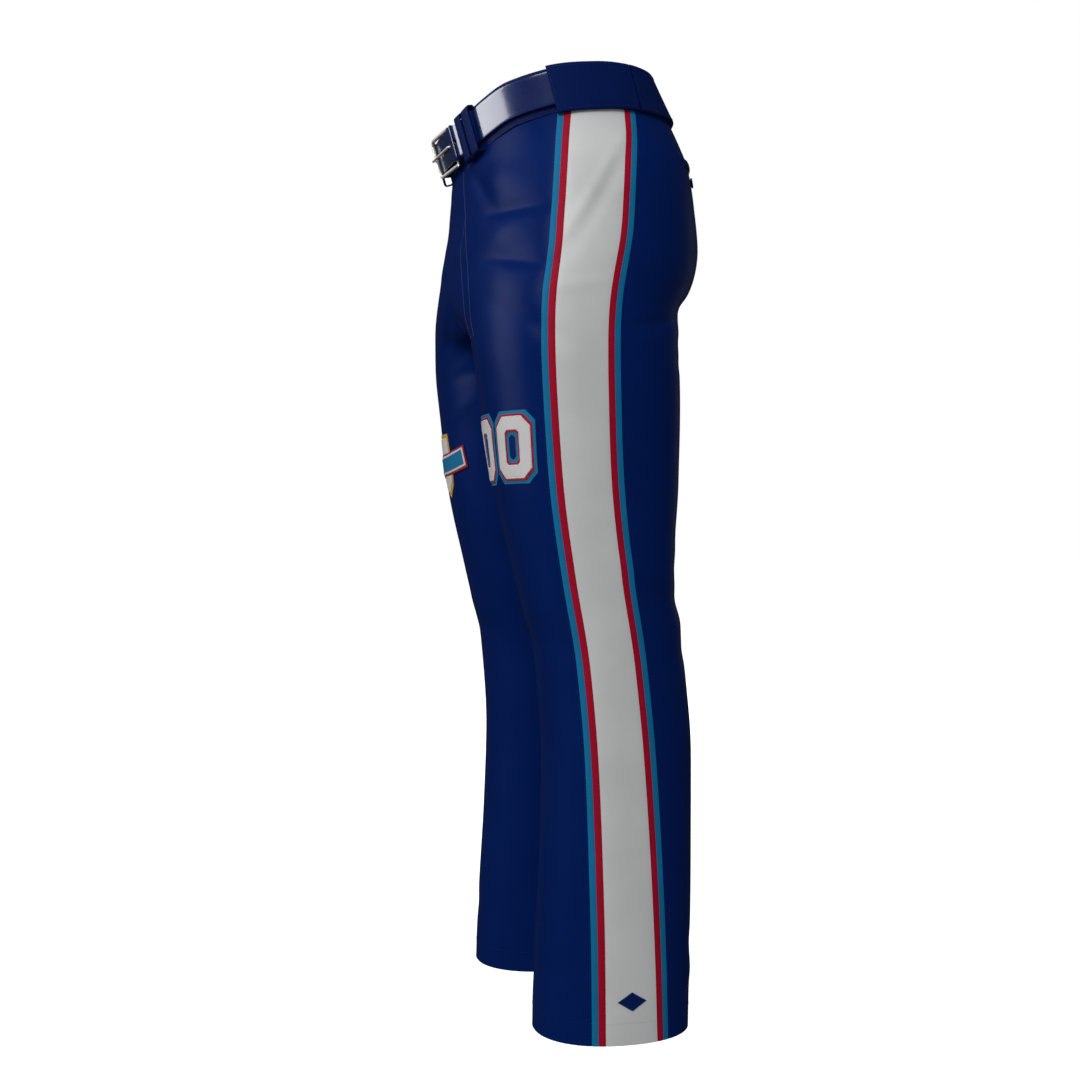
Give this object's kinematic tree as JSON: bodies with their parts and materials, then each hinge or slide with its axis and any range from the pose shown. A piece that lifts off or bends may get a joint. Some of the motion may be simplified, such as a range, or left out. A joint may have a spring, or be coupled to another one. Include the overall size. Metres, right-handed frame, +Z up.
{
  "type": "belted team pants",
  "caption": "Long belted athletic team pants with a white side insert edged in red and blue braid, belt tunnels, prong-buckle belt, zip fly, back pockets and block number.",
  "frame": {"origin": "on the floor, in the middle of the object's box, between the two hems", "axes": "+Z up along the legs, -Y to the wearer's front, +X to the wearer's left"},
  "size_m": [0.424, 0.3065, 1.0689],
  "materials": {
    "navy_knit": "smooth polyester knit",
    "white_knit": "smooth polyester knit",
    "red_braid": "flat knitted braid",
    "blue_braid": "flat knitted braid",
    "navy_waistband": "woven twill over interlining",
    "navy_loops": "folded knit",
    "elastic": "ribbed elastic with rubber threads",
    "pocketing": "thin woven lining",
    "belt_leather": "polished coated leather",
    "pewter": "antique nickel finish",
    "rivet_metal": "satin",
    "zip_tape": "woven tape",
    "zip_metal": "tumbled",
    "hook_steel": "plain",
    "button_plastic": "polished",
    "twill_white": "tackle twill",
    "twill_red": "tackle twill",
    "twill_blue": "tackle twill",
    "twill_gold": "tackle twill",
    "twill_navy": "tackle twill"
  },
  "bodies": {
    "garment": {"back_tunnel": "navy_loops", "belt_chape": "belt_leather", "belt_keeper": "belt_leather", "belt_strap": "belt_leather", "chape_rivets": "rivet_metal", "emblem_ribbon_blue": "twill_blue", "emblem_ribbon_red": "twill_red", "emblem_ribbon_white": "twill_white", "emblem_shield_gold": "twill_gold", "emblem_shield_white": "twill_white", "fly_facing": "zip_tape", "fly_shield": "zip_tape", "hem_badge": "twill_navy", "left_back_blue_braid": "blue_braid", "left_back_panel": "navy_knit", "left_back_red_braid": "red_braid", "left_front_blue_braid": "blue_braid", "left_front_loops": "navy_loops", "left_front_panel": "navy_knit", "left_front_red_braid": "red_braid", "left_hem_facing": "navy_knit", "left_pocket_bag": "pocketing", "left_pocket_button": "button_plastic", "left_pocket_welt": "navy_loops", "left_side_panel": "white_knit", "left_side_tunnel": "navy_loops", "number_blue_layer": "twill_blue", "number_red_layer": "twill_red", "number_white_layer": "twill_white", "right_back_blue_braid": "blue_braid", "right_back_panel": "navy_knit", "right_back_red_braid": "red_braid", "right_front_blue_braid": "blue_braid", "right_front_loops": "navy_loops", "right_front_panel": "navy_knit", "right_front_red_braid": "red_braid", "right_hem_facing": "navy_knit", "right_pocket_bag": "pocketing", "right_pocket_button": "button_plastic", "right_pocket_welt": "navy_loops", "right_side_panel": "white_knit", "right_side_tunnel": "navy_loops", "waist_bar": "hook_steel", "waist_gripper_elastic": "elastic", "waist_hook": "hook_steel", "waistband_left": "navy_waistband", "waistband_right": "navy_waistband", "waistband_underlap": "navy_waistband", "zip_stops": "zip_metal", "zip_tape_left": "zip_tape", "zip_tape_right": "zip_tape", "zip_teeth_left": "zip_metal", "zip_teeth_right": "zip_metal"},
    "buckle": {"buckle_frame": "pewter"},
    "prong": {"buckle_prong": "pewter"},
    "slider": {"zip_slider": "zip_metal"},
    "pull": {"zip_pull": "zip_metal"}
  },
  "joints": [
    {"name": "buckle_swing", "type": "hinge", "parent": "garment", "child": "buckle", "pos_m": [0.02641, -0.13737, 0.99154], "axis": [0, -0.2756, 0.9613], "range_deg": [0, 12]},
    {"name": "prong_lift", "type": "hinge", "parent": "buckle", "child": "prong", "pos_m": [0.02641, -0.13737, 0.99154], "axis": [0, -0.2756, 0.9613], "range_deg": [0, 30]},
    {"name": "zip_run", "type": "slide", "parent": "garment", "child": "slider", "axis": [0, -0.0698, -0.9976], "range_m": [0, 0.092]},
    {"name": "pull_flip", "type": "hinge", "parent": "slider", "child": "pull", "pos_m": [0, -0.11619, 0.95062], "axis": [-1, 0, 0], "range_deg": [0, 12]}
  ]
}
